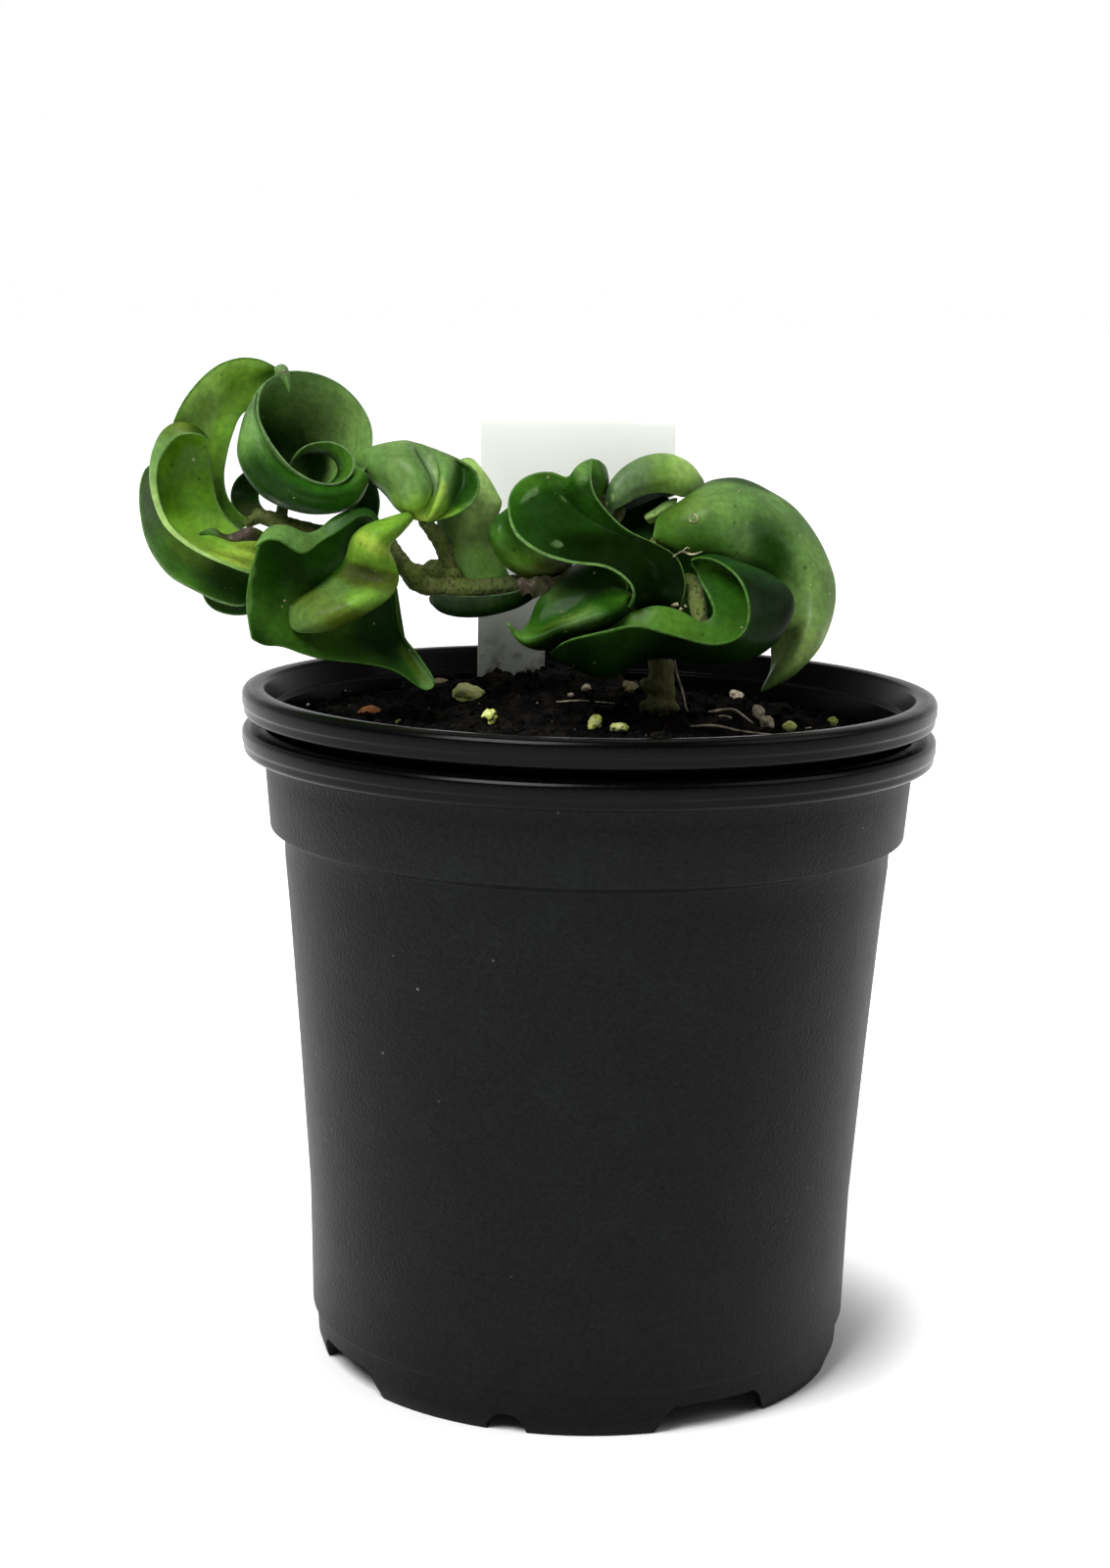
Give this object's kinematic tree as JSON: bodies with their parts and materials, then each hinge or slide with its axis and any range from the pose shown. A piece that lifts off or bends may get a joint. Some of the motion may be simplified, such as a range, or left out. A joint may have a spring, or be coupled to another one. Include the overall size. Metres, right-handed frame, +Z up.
{
  "type": "potted hindu rope plant",
  "caption": "Hindu rope plant with thick curled leaves on a short vine, in two nested round nursery pots with soil and a plain plant tag.",
  "frame": {"origin": "middle of the whole outline seen from above, on the surface that the outer pot stands on; the pots' axis stands 13.5 mm from it toward +X, because the vine hangs over the rim at -X", "axes": "+Z up along the pots' axis, +Y toward the back, where the tag stands, so the picture looks along +Y"},
  "size_m": [0.192, 0.165, 0.2396],
  "materials": {
    "pot_plastic": "satin charcoal, moulded",
    "soil": "damp, crumbly, nearly black",
    "tag_plastic": "smooth white, bare",
    "stem_bark": "rough olive brown",
    "leaf_lime": "waxy lime green",
    "leaf_mid": "waxy mid green",
    "leaf_dark": "glossy dark green",
    "leaf_pale": "waxy pale green"
  },
  "bodies": {
    "root": {"outer_pot": "pot_plastic", "inner_pot": "pot_plastic", "soil": "soil", "tag": "tag_plastic", "stem": "stem_bark", "hook_upper": "leaf_lime", "hook_lower": "leaf_lime", "hook_back": "leaf_mid", "hook_under": "leaf_mid", "snail": "leaf_mid", "shade_leaf": "leaf_dark", "bud_leaf": "leaf_dark", "fold_back": "leaf_dark", "fold_front": "leaf_lime", "cap_leaf": "leaf_pale", "pale_leaf": "leaf_pale", "keel_leaf": "leaf_mid", "wrap_leaf": "leaf_lime", "wave_upper": "leaf_dark", "crest_leaf": "leaf_dark", "crest_back": "leaf_dark", "wave_lower": "leaf_lime", "boat_leaf": "leaf_mid", "claw_leaf": "leaf_mid", "shaded_back": "leaf_dark", "arch_leaf": "leaf_pale"}
  },
  "joints": []
}
